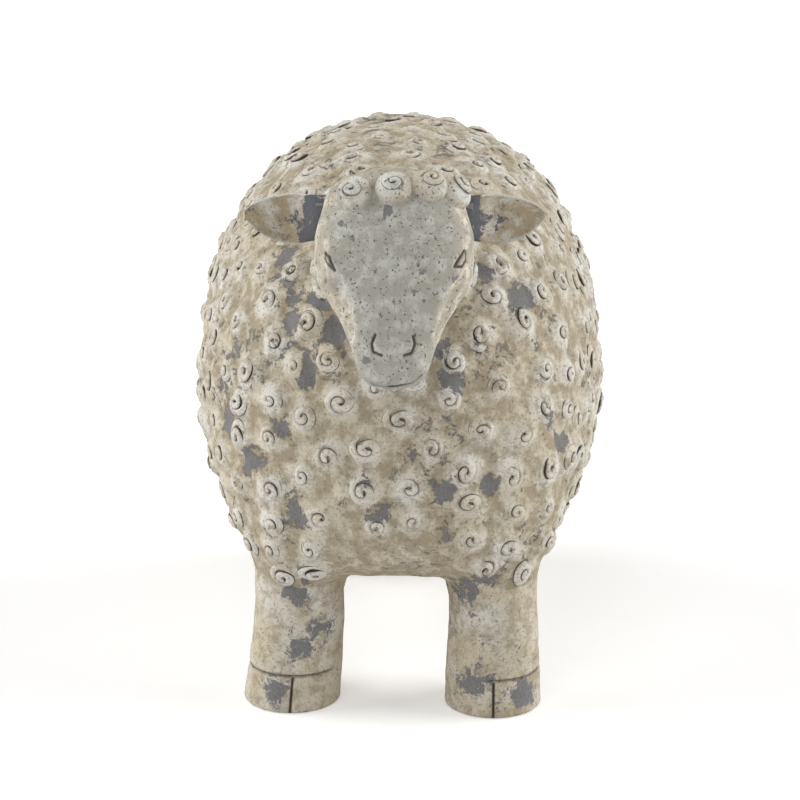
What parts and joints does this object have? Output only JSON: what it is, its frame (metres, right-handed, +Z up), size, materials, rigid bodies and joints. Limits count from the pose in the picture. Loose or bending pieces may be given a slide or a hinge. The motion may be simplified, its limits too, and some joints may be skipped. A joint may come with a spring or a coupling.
{
  "type": "sheep figurine",
  "caption": "Standing garden sheep, hollow-cast in fibre-cement with curled wool in relief, a smooth face, side ears and thick post legs, under a worn cream limewash.",
  "frame": {"origin": "middle of the bounding box, on the floor under the soles", "axes": "+Z up, the sheep faces along -Y, and +X is on the sheep's own left"},
  "size_m": [0.3444, 0.6019, 0.4416],
  "materials": {
    "limewashed_cement": "worn cream limewash over grey fibre-cement, matt, with dirt in the recesses",
    "bare_cement": "bare grey fibre-cement and mortar, matt and fine-grained",
    "steel_rod": "mild steel bar, dull, cut ends"
  },
  "bodies": {
    "root": {"left_body_shell": "limewashed_cement", "right_body_shell": "limewashed_cement", "head": "limewashed_cement", "left_ear": "limewashed_cement", "right_ear": "limewashed_cement", "front_left_leg": "limewashed_cement", "front_right_leg": "limewashed_cement", "rear_left_leg": "limewashed_cement", "rear_right_leg": "limewashed_cement", "tail": "limewashed_cement", "seam_dowels": "steel_rod", "leg_mortar": "bare_cement", "neck_mortar": "bare_cement", "ear_mortar": "bare_cement", "leg_rods": "steel_rod", "neck_rod": "steel_rod", "ear_pins": "steel_rod", "tail_pin": "steel_rod"}
  },
  "joints": []
}
